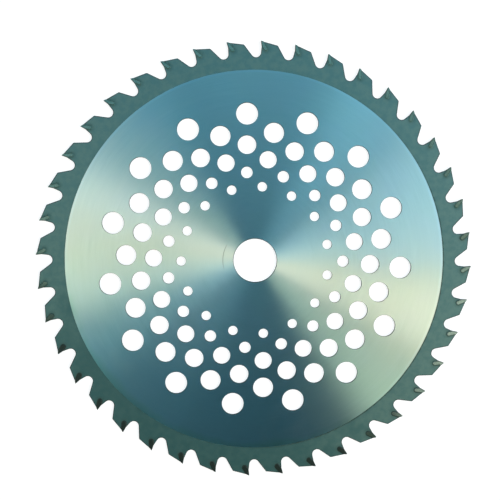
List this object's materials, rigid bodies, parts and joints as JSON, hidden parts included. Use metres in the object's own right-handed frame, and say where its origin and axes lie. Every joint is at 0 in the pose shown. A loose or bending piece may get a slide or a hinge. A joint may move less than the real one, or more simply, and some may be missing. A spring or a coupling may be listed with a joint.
{
  "type": "brush cutter blade",
  "caption": "Flat circular saw blade for a brush cutter: thin steel disc, arbor hole, rows of lightening holes and brazed carbide cutting teeth.",
  "frame": {"origin": "centre of the arbor hole, halfway through the plate's thickness", "axes": "+Z along the arbor, out of the face that the blade turns anticlockwise on; +X out through the cutting edge of carbide_tip_01; the tips are numbered anticlockwise"},
  "size_m": [0.255, 0.255, 0.0022],
  "materials": {
    "blade_steel": "face ground in circles, satin; bare matt rim",
    "silver_braze": "dull, heat-stained",
    "carbide": "fine-ground, grey"
  },
  "bodies": {
    "root": {"blade_body": "blade_steel", "braze_joints": "silver_braze", "carbide_tip_01": "carbide", "carbide_tip_02": "carbide", "carbide_tip_03": "carbide", "carbide_tip_04": "carbide", "carbide_tip_05": "carbide", "carbide_tip_06": "carbide", "carbide_tip_07": "carbide", "carbide_tip_08": "carbide", "carbide_tip_09": "carbide", "carbide_tip_10": "carbide", "carbide_tip_11": "carbide", "carbide_tip_12": "carbide", "carbide_tip_13": "carbide", "carbide_tip_14": "carbide", "carbide_tip_15": "carbide", "carbide_tip_16": "carbide", "carbide_tip_17": "carbide", "carbide_tip_18": "carbide", "carbide_tip_19": "carbide", "carbide_tip_20": "carbide", "carbide_tip_21": "carbide", "carbide_tip_22": "carbide", "carbide_tip_23": "carbide", "carbide_tip_24": "carbide", "carbide_tip_25": "carbide", "carbide_tip_26": "carbide", "carbide_tip_27": "carbide", "carbide_tip_28": "carbide", "carbide_tip_29": "carbide", "carbide_tip_30": "carbide", "carbide_tip_31": "carbide", "carbide_tip_32": "carbide", "carbide_tip_33": "carbide", "carbide_tip_34": "carbide", "carbide_tip_35": "carbide", "carbide_tip_36": "carbide", "carbide_tip_37": "carbide", "carbide_tip_38": "carbide", "carbide_tip_39": "carbide", "carbide_tip_40": "carbide"}
  },
  "joints": []
}
